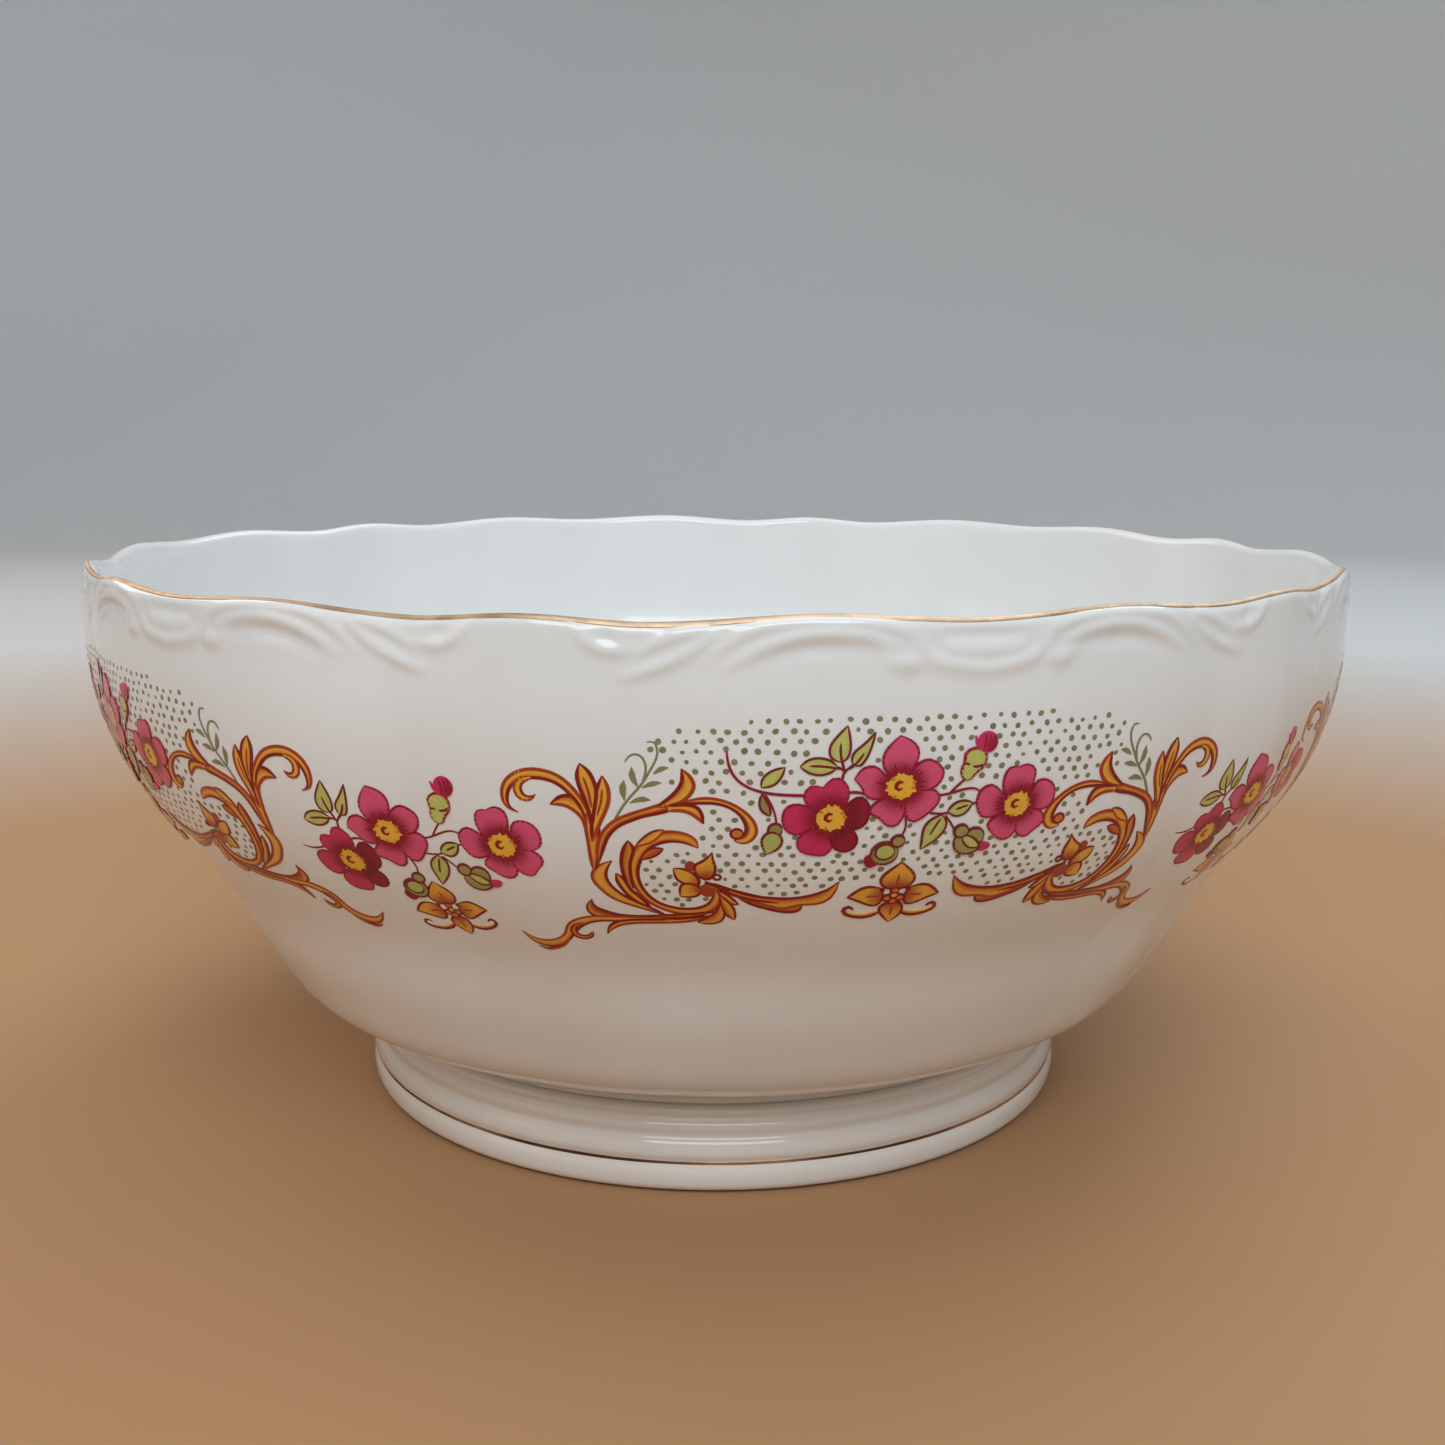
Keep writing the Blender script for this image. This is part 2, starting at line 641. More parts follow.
def from_heart(heart, low, high, inner, outer):
    """Colour that changes from inner to outer with distance from a flower's heart."""
    def colour_at(places):
        far = ramp(np.linalg.norm(places - np.array(heart), axis=1), low, high)[:, None]
        return inner * (1 - far) + outer * far
    return colour_at


# ---- roses and leaves ----
def streaks(p, heart, start, reach, count, colour, seed):
    """Fine dark brush marks that run out from a flower's heart."""
    source = random.Random(seed)
    for i in range(count):
        a = 2 * math.pi * (i + source.uniform(-0.25, 0.25)) / count
        way = np.array([math.cos(a), math.sin(a)])
        far = reach * source.uniform(0.72, 1.1)
        path = np.array(heart) + way * np.linspace(start, far, 5)[:, None]
        edge = side_of(path) * np.array([0.3, 0.26, 0.2, 0.13, 0.03])[:, None]
        p.strip(path + edge, path - edge, [colour, colour])


def rose(p, heart, radius, petals, seed, colour=PINK, dark=()):
    """Five-petalled wild rose. A petal is its outline, and those named in dark are deep crimson."""
    for i, outline in enumerate(petals):
        inner, outer = (DEEP_RED, CRIMSON) if i in dark else (HEART_RED, colour)
        p.patch(outline, from_heart(heart, radius * 1.1, radius * 2.5, inner, outer))
        p.ring(outline, max(16, round(2.2 * len(outline))), DEEP_RED if i in dark else CRIMSON, 0.2)
    streaks(p, heart, radius * 0.9, radius * 1.75, count=30, colour=HEART_RED, seed=seed)
    p.oval(heart, (radius, radius * 0.96), YOLK, count=24)
    source, grains = random.Random(seed + 20), 13
    for i in range(grains):
        a = 2 * math.pi * (i + source.uniform(-0.3, 0.3)) / grains
        far = radius * source.uniform(0.86, 1.02)
        place = (heart[0] + far * math.cos(a), heart[1] + far * math.sin(a))
        p.oval(place, (0.34, 0.24), YOLK if i % 4 else AMBER, math.degrees(a), count=8)
    curl = [(0.45, -0.75), (-0.25, -0.85), (-0.8, -0.3), (-0.7, 0.4), (-0.05, 0.65), (0.4, 0.35)]
    line = [(heart[0] - 0.1 + 0.8 * x, heart[1] - 0.05 + 0.8 * y) for x, y in curl]
    p.stroke(line, [0.25, 0.6, 0.66, 0.6, 0.5, 0.2], RUST)
    p.stroke(line, [0.15, 0.36, 0.42, 0.38, 0.3, 0.1], MAROON)


def green_leaf(p, tip, left, right, base, vein=None, dark=False):
    """Pointed leaf from its tip to its base, with a red-brown pen outline."""
    body = LEAF_DARK if dark else LEAF
    shade = body * 0.82
    p.leaf(tip, left, right, base, [shade, body, body, shade], LEAF_EDGE, LEAF_EDGE, 0.2)
    if vein:
        p.pen(vein, 8, LEAF_EDGE, 0.22)


def bud(p, outline, body, rim):
    """Plain rounded shape with a pen line round it."""
    p.patch(outline, plain(body))
    p.ring(outline, 18, rim, 0.22)


def circle(centre, rx, ry=None):
    """Outline of a circle or an upright oval."""
    ry = ry or rx
    turns = [2 * math.pi * i / 8 for i in range(8)]
    return [(centre[0] + rx * math.cos(a), centre[1] + ry * math.sin(a)) for a in turns]


def vine(p):
    """Left end of the cartouche's bouquet: a long tendril with two leaves and a hanging bud."""
    p.oval((1.5, 18.1), (0.38, 0.38), OLIVE)
    p.stroke(
        [(1.6, 18.4), (1.9, 20.5), (2.9, 22.5), (4.5, 23.8), (6.3, 24.5), (8.5, 24.9), (12.4, 25.1)],
        [0.25, 0.4, 0.36, 0.36, 0.4, 0.4, 0.42], CRIMSON)
    green_leaf(p, (9.4, 20.8), [(7.4, 21.5), (6.3, 22.9)], [(8.9, 22.3), (7.8, 23.5)], (6.3, 23.8))
    p.stroke([(6.8, 24.8), (7.7, 26.5), (8.3, 28.3), (8.5, 29.5)], [0.2, 0.3, 0.3, 0.3], CRIMSON)
    green_leaf(p, (6.4, 24.8), [(6.1, 26), (6.4, 27.4)], [(7.2, 26.2), (7.6, 27.4)], (7.6, 28.3), dark=True)
    bud(p, circle((8.35, 30.6), 0.95, 1.05), LEAF_DARK, LEAF_EDGE)
    bud(p, [(7.6, 31), (6.6, 32.2), (6.8, 33.6), (7.3, 34.8), (7.3, 34.8), (8.8, 33.8), (9.4, 32.4),
            (8.7, 31.2)], LEAF * 0.85, LEAF_EDGE)


def bouquet(p):
    """Three roses with their leaves and buds."""
    p.stroke([(18, 24.8), (19, 24.7), (20.3, 25)], [0.4, 0.4, 0.3], CRIMSON)
    p.stroke([(17.1, 23), (17.4, 21.6), (17.6, 21.4)], [0.35, 0.4, 0.3], CRIMSON)
    p.stroke([(17.5, 21.5), (16.6, 20.9), (15.6, 20.6)], [0.35, 0.3, 0.2], MAROON)
    p.stroke([(17.5, 21.5), (18.3, 20.7), (19, 20.2)], [0.35, 0.3, 0.2], MAROON)
    green_leaf(
        p, (17.6, 14.8), [(16.2, 16.4), (15.3, 18), (15.6, 19.5)], [(18, 17), (18, 18.5), (17.4, 19.8)],
        (16.7, 20), [(16.7, 17.3), (16.8, 19.2), (17.4, 21.3)])
    green_leaf(
        p, (11.4, 20.7), [(12.6, 19.7), (14.2, 19.5), (15.6, 20)],
        [(12.6, 21.6), (14, 21.95), (15.5, 21.6)], (16.4, 20.8), [(12.6, 20.6), (14.6, 20.7), (16.8, 21.1)])
    green_leaf(
        p, (21.4, 15.8), [(19.8, 17.6), (18.5, 18.9), (18.3, 19.8)],
        [(20.9, 17.8), (20.2, 19.7), (19.3, 20.7)], (18.5, 20.5), [(19.9, 18.8), (19, 20.2), (17.9, 21.2)])
    p.stroke(
        [(30.8, 25.7), (32.4, 25.5), (35, 24.9), (36.5, 25.1), (37, 25.5)], [0.3, 0.34, 0.34, 0.3, 0.25],
        CRIMSON)
    p.stroke([(32.5, 25.4), (33.5, 24.3), (34.6, 23.3)], [0.3, 0.3, 0.25], MAROON)
    p.stroke([(29, 28.2), (31.5, 28.7), (33, 28.5), (36.8, 27.1)], [0.3, 0.3, 0.3, 0.25], MAROON)
    p.stroke([(32.3, 29.1), (33.4, 30.6), (33.9, 31.5)], [0.3, 0.3, 0.25], MAROON)
    p.stroke([(26.4, 28.9), (26.6, 30.8), (26.3, 31.9)], [0.3, 0.3, 0.25], CRIMSON)
    green_leaf(
        p, (36, 27.1), [(34.3, 26.8), (33, 27.5)], [(35.2, 28.7), (33.8, 29.2)], (32.5, 28.4),
        [(35.4, 27.5), (33.6, 28.1)])
    green_leaf(
        p, (31.6, 28.9), [(30, 29.8), (29.3, 31.2), (29.3, 33)], [(32.5, 30), (32.2, 31.8), (31, 33.3)],
        (29.3, 34.6), [(31.6, 29.4), (30.9, 30.8), (30.3, 32.2)])
    rose(
        p, LEFT_ROSE, 2,
        [
            [(15, 27.6), (13.2, 27), (12.1, 25.2), (13, 23.7), (14.6, 23.9), (14.6, 23.9), (16.2, 22.5),
             (17.8, 23.6), (17.6, 26.6)],
            [(14.2, 28.7), (12.8, 27), (11.2, 26.5), (9.9, 26.9), (9.3, 28.3), (9.4, 29.4), (9.9, 30.6),
             (11.5, 31.3), (13, 30.4)],
            [(14.8, 30.2), (12.6, 31), (11.5, 32.6), (12.2, 34.3), (14, 34.9), (15.4, 35), (16.4, 33.6),
             (16.5, 31.2)],
            [(16.2, 30.6), (16.3, 33), (17.3, 34.2), (18.6, 34.4), (19.7, 33.5), (19.8, 32), (19.1, 30.8),
             (17.8, 29.8)],
            [(17.4, 28), (18.4, 26.3), (19.8, 25.5), (20.9, 26.5), (21.2, 28), (20.7, 29.8), (19.5, 30.6),
             (17.9, 29.9)],
        ], seed=1, colour=ROSE, dark=(3, 4))
    rose(
        p, (43, 28), 1.95,
        [
            [(42.6, 26.9), (41, 26.2), (40.4, 24.3), (41.2, 22.1), (42.6, 22.1), (42.6, 22.1), (44, 21.8),
             (45.1, 22.6), (45.2, 24), (44.4, 26.2)],
            [(41.6, 28), (40.2, 25.8), (38.6, 24.6), (37.2, 25.2), (36.7, 26.7), (37, 28.3), (37.9, 29.6),
             (39.4, 29.7), (41, 29)],
            [(42.2, 29.4), (39.8, 30), (39, 31.2), (39.8, 32.3), (40.8, 33.4), (42.2, 33.9), (43.5, 32.8),
             (43.4, 30.5)],
            [(43.9, 29.6), (43.6, 31.8), (44.5, 33.4), (45.7, 33.7), (46.8, 32.6), (47.8, 31.8),
             (47.9, 30.5), (47, 29.4), (45.4, 28.9)],
            [(44.5, 27.8), (45.2, 25.8), (45.9, 24.6), (47.4, 24.5), (48.7, 25.6), (49, 27.2), (48.5, 28.7),
             (47.2, 29.2), (45.6, 28.9)],
        ], seed=3)
    rose(
        p, (25.3, 24), 1.95,
        [
            [(25, 22.6), (23.4, 22), (22.6, 20.4), (22.8, 18.8), (24.8, 16.4), (24.8, 16.4), (26.6, 17.4),
             (27.4, 18.8), (27, 20.8), (26.2, 22.2)],
            [(26.5, 23.6), (26.7, 21.7), (27.6, 20.6), (29, 20.1), (30.2, 20.7), (31.1, 21.8), (31, 23),
             (30, 24.3), (28, 24.7)],
            [(26.7, 24.6), (28.2, 24.7), (29.9, 24.7), (30.9, 25.8), (30.7, 27), (29.6, 28.3), (28.3, 29.4),
             (27.2, 29.6), (26.4, 28.4), (26, 26.6)],
            [(25.2, 25.6), (26, 26.8), (25.9, 29), (24.8, 30.3), (23.5, 29.8), (22.6, 28.8), (21.3, 28),
             (21.4, 27.1), (22.4, 26.1), (23.8, 25.4)],
            [(24, 24.2), (22.9, 22.2), (21.5, 20.9), (20, 21.1), (18.8, 22.7), (18.8, 22.7), (19.9, 24),
             (20.6, 25.3), (22, 25.8), (23.4, 25.3)],
        ], seed=2)
    bud(
        p,
        [(34.6, 23.5), (33.9, 22.8), (33.8, 21.8), (34.2, 20.8), (34.1, 19.8), (34.9, 18.9), (36.1, 18.8),
         (37.1, 19.6), (37.2, 20.9), (36.6, 21.9), (35.8, 22.5), (35.2, 23.4)], LEAF, CRIMSON)
    p.pen([(36.9, 21.2), (36.1, 21.5), (35.3, 21.4)], 6, LEAF_EDGE, 0.24)
    p.pen([(34.2, 20.8), (34.9, 21.2)], 4, LEAF_EDGE, 0.2)
    p.patch(circle((37.3, 17.9), 1.5, 1.6), from_heart((38.2, 18.8), 0.2, 2.2, CRIMSON, ROSE))
    p.stroke([(35.5, 16.9), (35.8, 18), (36.4, 18.9)], [0.15, 0.55, 0.5], ROSE)
    for x in (36.9, 37.6, 38.2):
        p.pen([(x, 16.7), (x + 0.1, 17.8), (x - 0.2, 18.9)], 6, CRIMSON, 0.2)
    bud(p, circle((37.2, 33), 1.5, 1.55), LEAF_DARK * 1.15, LEAF_EDGE)
    p.patch(
        [(38.4, 34.2), (39.2, 34.1), (40.1, 34.6), (39.6, 35.4), (38.6, 35.6), (37.9, 35.2)], plain(ROSE))
    bud(
        p,
        [(34.4, 32.9), (34.3, 34.2), (34.9, 35.3), (36.1, 35.9), (37.5, 35.7), (38.4, 34.9), (38, 33.9),
         (36.9, 33), (35.6, 32.5)], LEAF_DARK * 1.2, LEAF_EDGE)
    bud(
        p, [(35.4, 32.8), (36.3, 32.7), (37.6, 33.6), (38.2, 34.7), (37.2, 34.9), (36, 34.2)], LEAF,
        LEAF_EDGE)
    bud(p, circle((35, 31.8), 1.05), LEAF_DARK * 1.15, LEAF_EDGE)
    p.patch(
        [(22.4, 35.2), (21.4, 35.6), (21.3, 36.6), (22, 37.5), (23, 37.2), (23.6, 36.2)], plain(CRIMSON))
    bud(p, circle((24.1, 35), 1.95, 1.95), LEAF_DARK * 1.1, LEAF_EDGE)
    bud(p, circle((24.1, 34.7), 1.4, 1.35), LEAF * 0.9, LEAF_EDGE)
    bud(p, circle((25.8, 32.9), 0.95), LEAF_DARK * 1.15, LEAF_EDGE)


def gold_flower(p):
    """Small gold flower under the middle of the bouquet, with a scroll to each side."""
    heart = FLOWER_HEART
    half = Print()
    half.arm(
        [(25.6, 47.2), (23.2, 48.2), (21.5, 48), (20.2, 47.4), (19.8, 46.5), (20.5, 46), (21.2, 46.6)],
        [0.5, 0.9, 0.9, 0.8, 0.6, 0.5, 0.3], [RUST, AMBER, OCHRE], MAROON)
    petal = [(24.6, 42), (22.4, 41.7), (20, 43.7), (20, 43.7), (22.2, 44.9), (24.6, 45.7), (25.3, 43.8)]
    half.patch(petal, from_heart(heart, 1.6, 5, RUST, OCHRE))
    half.pen(petal + petal[:1], 26, MAROON, 0.26)
    half.pen([(24.6, 43.6), (22.6, 43.7)], 5, RUST, 0.24)
    p.tiles += both_sides(half)
    for outline, vein in (
        ([(25.2, 41.7), (24.4, 40.2), (25.4, 38.5), (27, 36.9), (27, 36.9), (28.6, 38.5), (29.5, 40.2),
          (28.8, 41.7), (27, 42.2)], [(27, 41.4), (27, 39.2)]),
        ([(25.3, 46.6), (26.1, 48.3), (27.4, 49.9), (27.4, 49.9), (28.7, 48.3), (28.9, 46.6),
          (28.2, 45.4), (26.2, 45.4)], [(27.2, 46.2), (27.3, 48.3)]),
    ):
        p.patch(outline, from_heart(heart, 1.6, 5, RUST, OCHRE))
        p.ring(outline, 26, MAROON, 0.26)
        p.pen(vein, 5, RUST, 0.22)
    for place in ((26, 44.2), (28, 44.2), (27, 42.6), (27, 44.9)):
        bud(p, circle(place, 0.62), AMBER, MAROON)
    bud(p, circle(heart, 0.6), OCHRE, MAROON)
    for x in (25, 29):
        p.oval((x, 42.4), (0.42, 0.42), MAROON)


def mirrored(places):
    """Places on the other side of the cartouche's middle."""
    return np.stack([2 * FRAME_MIDDLE - places[:, 0], places[:, 1]], axis=1)


def both_sides(half):
    """Tiles of a half drawing and of its mirror image."""
    return half.tiles + half.moved(mirrored).tiles


# ---- the gold scroll frame ----
def sage_sprig(p):
    """Grey-green twig above the arch: two curled stems with small leaves."""
    p.stroke(
        [(-14, 29.8), (-12.5, 27), (-11, 25), (-9.9, 23.6), (-8.7, 21.5), (-7.8, 19.5), (-7.8, 18),
         (-8.3, 17.3), (-9.1, 17.4)], [0.45, 0.42, 0.4, 0.38, 0.36, 0.36, 0.34, 0.34, 0.2], SAGE)
    p.stroke(
        [(-9.7, 23.2), (-9.3, 21.5), (-9.5, 20.1), (-10.3, 19.2), (-11.3, 19.3), (-12.1, 20.3)],
        [0.36, 0.36, 0.36, 0.34, 0.34, 0.2], SAGE)
    for line, wide in (
        ([(-11.2, 21.0), (-11.1, 22.6), (-10.4, 24.1)], 0.95),
        ([(-12.3, 23.0), (-12.5, 24.6), (-12.3, 26.2)], 1.0),
        ([(-6.2, 21.1), (-7.2, 21.3), (-8.3, 22.1)], 0.85),
        ([(-7.2, 23.4), (-8.6, 23.6), (-9.9, 24.2)], 0.85),
        ([(-8.7, 26.1), (-10.2, 26.0), (-11.6, 26.6)], 0.9),
    ):
        p.stroke(line, [0.08, wide, wide * 0.8, 0.15], SAGE)


def corner_scroll(p):
    """Left half of the frame: an upright of leaves, an arch, a C-scroll, a tail and a long leaf."""
    # the inner C-scroll and its leaves
    p.band(
        [(-2.3, 33.9), (-2.6, 32.5), (-4, 31.5), (-6, 31.2), (-8, 31.6), (-10, 32.8), (-11.5, 34.5),
         (-12.4, 37), (-12.3, 39.5), (-11.6, 42), (-10.4, 44.3), (-8.5, 46.2), (-6, 47.4), (-3, 47.6),
         (-0.6, 46.8), (0.8, 44.8), (1.1, 42.2)],
        [(-2.3, 33.9), (-3.6, 33.3), (-5, 32.9), (-7, 33), (-9, 34), (-10.4, 36), (-11.1, 38.5),
         (-10.9, 41), (-10, 43.2), (-8.4, 45.1), (-6, 46.2), (-3.4, 46.3), (-1.4, 45.5), (-0.3, 43.8),
         (0, 41.8)], [RUST, AMBER, OCHRE, AMBER, MAROON], RUST, MAROON, 0.3)
    p.leaf(
        (-7, 30.9), [(-8.3, 31.1), (-9.9, 32.2)], [(-7.8, 32.1), (-9.2, 33.2)], (-11.2, 33.8),
        [AMBER, OCHRE, OCHRE], MAROON, RUST, 0.2)
    p.leaf(
        (-7.2, 34.2), [(-8.6, 34.1), (-9.8, 34.8)], [(-7.9, 35.1), (-9.2, 35.9)], (-10.6, 36.2),
        [AMBER, RUST], MAROON, MAROON, 0.2)
    p.band(
        [(-12.2, 32.8), (-12.8, 34), (-13.3, 36), (-13.3, 38.5), (-12.6, 42)],
        [(-12.2, 32.8), (-11.5, 34.2), (-11.9, 36), (-12.2, 38), (-12, 42)], [RUST, AMBER, OCHRE], MAROON,
        MAROON)
    p.leaf(
        (-14.3, 38.9), [(-14.3, 40.2), (-13.6, 42.2), (-12.2, 44.4)],
        [(-13.2, 40.1), (-12.6, 41.8), (-11.2, 43.8)], (-9.5, 46.6), [AMBER, OCHRE, AMBER], MAROON, MAROON)
    p.leaf(
        (-14.7, 36.5),
        [(-16.1, 37.1), (-17.6, 38.6), (-17.8, 40.2), (-16.9, 42.1), (-15.4, 44), (-13, 45.5),
         (-10.2, 46.8)],
        [(-15.5, 38), (-15.8, 39.5), (-15.3, 41.3), (-14.1, 43), (-12.3, 44.6), (-10.2, 46)], (-7, 48.4),
        [AMBER, OCHRE, OCHRE, AMBER], RUST, MAROON, 0.28)
    # lower bands from the tail to the foot of the C-scroll
    p.leaf(
        (-18.5, 44.5), [(-18.3, 45.9), (-17, 47), (-15, 47.9), (-12, 48.3), (-8, 48.1), (-4, 47.6)],
        [(-19.4, 45.9), (-19.3, 47.6), (-17.6, 48.7), (-13, 48.9), (-8, 48.7), (-4, 48.4)], (0.6, 46.6),
        [MAROON, RUST, AMBER, OCHRE], MAROON, MAROON, 0.26)
    p.leaf(
        (-7, 48.7),
        [(-12, 48.6), (-16, 48.5), (-19, 48.6), (-21.5, 49.4), (-23.3, 51), (-24.1, 53), (-25.3, 54.5),
         (-27.4, 55.4), (-29.6, 55.2)],
        [(-12, 49.5), (-16, 49.6), (-18.6, 49.8), (-20.6, 50.8), (-22.2, 52.6), (-23.4, 54.4), (-25, 56.2),
         (-27.4, 57), (-29.8, 56.4)], (-31.7, 53.5), [AMBER, OCHRE, OCHRE, AMBER, RUST], RUST, MAROON, 0.24)
    p.stroke(
        [(-23.6, 54.6), (-25, 56.4), (-26.6, 57.4), (-28.2, 57.8), (-29.6, 57.2)],
        [0.2, 0.7, 0.9, 0.8, 0.3], [AMBER, RUST, MAROON])
    p.arm(
        [(-20.6, 50.3), (-21.9, 51), (-22.6, 52.2), (-22.4, 53.4), (-21.3, 54.1), (-20, 53.6),
         (-19.6, 52.6)], [0.5, 0.8, 1, 1.1, 1.1, 0.9, 0.5], [OCHRE, AMBER, RUST], MAROON, MAROON, 0.22)
    p.leaf(
        (0.6, 47.6), [(-4, 48.6), (-8, 49.1), (-12, 49.2), (-15.2, 49.8), (-16.6, 51)],
        [(-4, 49.4), (-8, 49.9), (-12, 50), (-14.5, 50.5), (-16.2, 51.6)], (-17.2, 53),
        [RUST, OCHRE, AMBER], MAROON, RUST)
    # the upright: thorn leaf, hook and two pointed leaves on one stem
    p.leaf(
        (-22.6, 27), [(-21.2, 25.8), (-19.6, 25.6), (-18.2, 26.8), (-17.3, 29)],
        [(-20.6, 27.1), (-19.2, 28), (-18.2, 29.4), (-17.8, 31)], (-16.9, 32), [RUST, AMBER, OCHRE, OCHRE],
        MAROON, RUST)
    p.arm(
        [(-17.3, 30.4), (-18, 27.4), (-19.4, 25), (-21.4, 23.1), (-24, 22.3), (-26.4, 22.6), (-28.3, 24),
         (-29, 26), (-28.6, 27.7), (-27.2, 28.5)], [0.8, 1, 1.1, 1.3, 1.5, 1.6, 1.5, 1.3, 0.9, 0.15],
        [MAROON, AMBER, OCHRE, OCHRE, AMBER], MAROON, RUST, 0.3)
    p.arm(
        [(-25, 22.9), (-26.5, 23.5), (-27, 24.8), (-26.4, 26), (-25.2, 26.1), (-24.5, 25.5)],
        [0.6, 1, 1.2, 1.2, 0.8, 0.15], [RUST, OCHRE, OCHRE, AMBER], MAROON, RUST, 0.22)
    p.band(
        [(-17.5, 28), (-17.9, 30), (-17.8, 32.5), (-17.7, 35.5), (-17.5, 38.4)],
        [(-16.3, 28), (-16.2, 30), (-16.1, 33), (-16.6, 36), (-17.2, 38.4)], [AMBER, OCHRE, AMBER, MAROON],
        RUST, MAROON, 0.3, ends=(1, 0.6))
    p.leaf(
        (-15.2, 22.4), [(-15.8, 23.8), (-16.2, 25.2), (-16.6, 27.2), (-17, 29.8)],
        [(-14.6, 23.8), (-14.4, 25.2), (-14.6, 26.8), (-15.4, 28.8)], (-17.2, 33),
        [AMBER, OCHRE, OCHRE, AMBER], MAROON, RUST)
    p.leaf(
        (-18.2, 20.6), [(-18.6, 22), (-18.5, 23.6), (-17.9, 25.6), (-17.3, 28)],
        [(-17.1, 21.7), (-16.4, 23.2), (-16.1, 24.8), (-16.4, 27)], (-17.1, 31),
        [RUST, OCHRE, OCHRE, AMBER], MAROON, MAROON)
    p.pen([(-17.8, 22.6), (-17.2, 24.8), (-16.9, 27.4)], 10, RUST, 0.24)
    p.pen([(-15.3, 24.4), (-15.5, 26.2), (-16.2, 28.6)], 10, RUST, 0.2)
    # the arch, its two leaves and the hook that ends it
    p.leaf(
        (-16.7, 37.2),
        [(-16.6, 34.6), (-15.7, 31.6), (-14, 29.6), (-12, 28.5), (-9.6, 27.6), (-7.4, 26.8)],
        [(-15.9, 34.8), (-14.9, 32.2), (-13.4, 30.4), (-11.4, 29.3), (-9.2, 28.5), (-6.6, 27.8)],
        (-4.2, 25.8), [AMBER, OCHRE, AMBER, RUST, MAROON], RUST, MAROON, 0.3)
    p.leaf(
        (-4.5, 21.2), [(-4.4, 22.9), (-5, 24.3), (-6.4, 25.9)],
        [(-3.3, 22.4), (-2.8, 23.7), (-3.2, 24.9), (-4.6, 26.3)], (-8, 27.2),
        [MAROON, AMBER, OCHRE, OCHRE, AMBER], MAROON, RUST)
    p.band(
        [(-6.4, 27.8), (-4.4, 27.7), (-2.9, 28.3), (-1.5, 29.7)],
        [(-6.4, 27), (-4, 26.7), (-2.3, 27.2), (-1.5, 29.7)], [AMBER, OCHRE, AMBER], RUST, MAROON)
    p.leaf(
        (-4.6, 26.4),
        [(-2, 25.7), (0, 25.7), (2, 26.3), (4, 27.6), (5.4, 29.3), (5.8, 31), (5.2, 32.3), (4, 32.9)],
        [(-2, 26.4), (0, 26.4), (1.8, 26.9), (3.3, 28), (4.2, 29.6), (4.3, 31), (3.8, 31.7), (3.2, 32)],
        (2.8, 32.5), [AMBER, OCHRE, OCHRE, RUST, MAROON], RUST, MAROON, 0.26)
    bud(p, circle((3.1, 31.3), 0.85, 0.8), AMBER, MAROON)
    # corner flower
    p.patch([(-4, 36.5), (-3.1, 36.4), (-2.7, 37.4), (-3.2, 38.2), (-4.2, 37.6)], plain(RUST))
    for outline, heart in (
        ([(-0.3, 34.6), (-0.3, 34.6), (-1.6, 36.2), (-2.8, 37.2), (-2.6, 38.6), (-1.7, 39.6),
          (-0.8, 39.7), (0, 38.6), (0.1, 37.2), (-0.2, 36)], (-1, 40.2)),
        ([(-5.9, 37.8), (-5.9, 37.8), (-5.5, 39.8), (-4.2, 40.8), (-2.4, 41), (-2.2, 40.2), (-3, 38.8),
          (-4.3, 37.9)], (-1.2, 41.2)),
        ([(-4.7, 41), (-5.1, 42.2), (-5.1, 43.5), (-5.1, 43.5), (-3.6, 43.6), (-2.3, 43), (-2, 41.8),
          (-3.2, 40.8)], (-1.2, 41.2)),
    ):
        p.patch(outline, from_heart(heart, 0.8, 3.6, RUST, OCHRE))
        p.ring(outline, 26, MAROON, 0.26)
    p.patch([(-2, 41.2), (-1.2, 40.8), (-0.2, 41.4), (0.2, 42.6), (-0.6, 43.4), (-1.7, 43.2)], plain(RUST))
    # long leaf along the bottom, towards the middle
    p.leaf(
        (13.2, 45.3), [(12.6, 44.6), (10.4, 44.3), (7.6, 43.6), (5, 42.8)],
        [(13, 46.3), (12, 46.8), (10.2, 46.7), (7.8, 45.9), (5.4, 44.8)], (2, 41.6), [OCHRE, AMBER, RUST],
        MAROON, MAROON)
    p.band(
        [(-1.4, 40.2), (2, 41.6), (5, 42.9), (8, 43.5), (11, 43.7), (14, 43.2), (16.4, 42.1), (18.2, 40.3)],
        [(-1.4, 41), (2, 42.6), (5, 44), (8, 45.2), (10.5, 45.9), (12.8, 45.2), (15.4, 45), (17.2, 43.8),
         (18.2, 40.3)], [RUST, AMBER, OCHRE, AMBER], MAROON, RUST, 0.26)
    p.pen([(0, 41.2), (3, 42.9), (6, 44), (9.6, 44.7)], 16, MAROON, 0.28)
    for tip, left, right, base in (
        ((3.7, 45.1), [(2.4, 44.9), (1.3, 43.8)], [(2.4, 43.4), (1.2, 42.4)], (0.4, 42)),
        ((3.2, 48.7), [(2, 47.7), (1.2, 46)], [(3.2, 47), (2.4, 44.9)], (0.8, 43)),
        ((-2.6, 49.5), [(-1.4, 48.6), (0, 47.2)], [(-0.8, 49.8), (0.9, 49.2), (1.6, 47.4)], (0.9, 45)),
    ):
        p.leaf(tip, left, right, base, [RUST, AMBER, OCHRE, AMBER], MAROON, MAROON, 0.22)
    p.stroke(circle((0.4, 39.3), 0.55), [0.4], MAROON, closed=True)
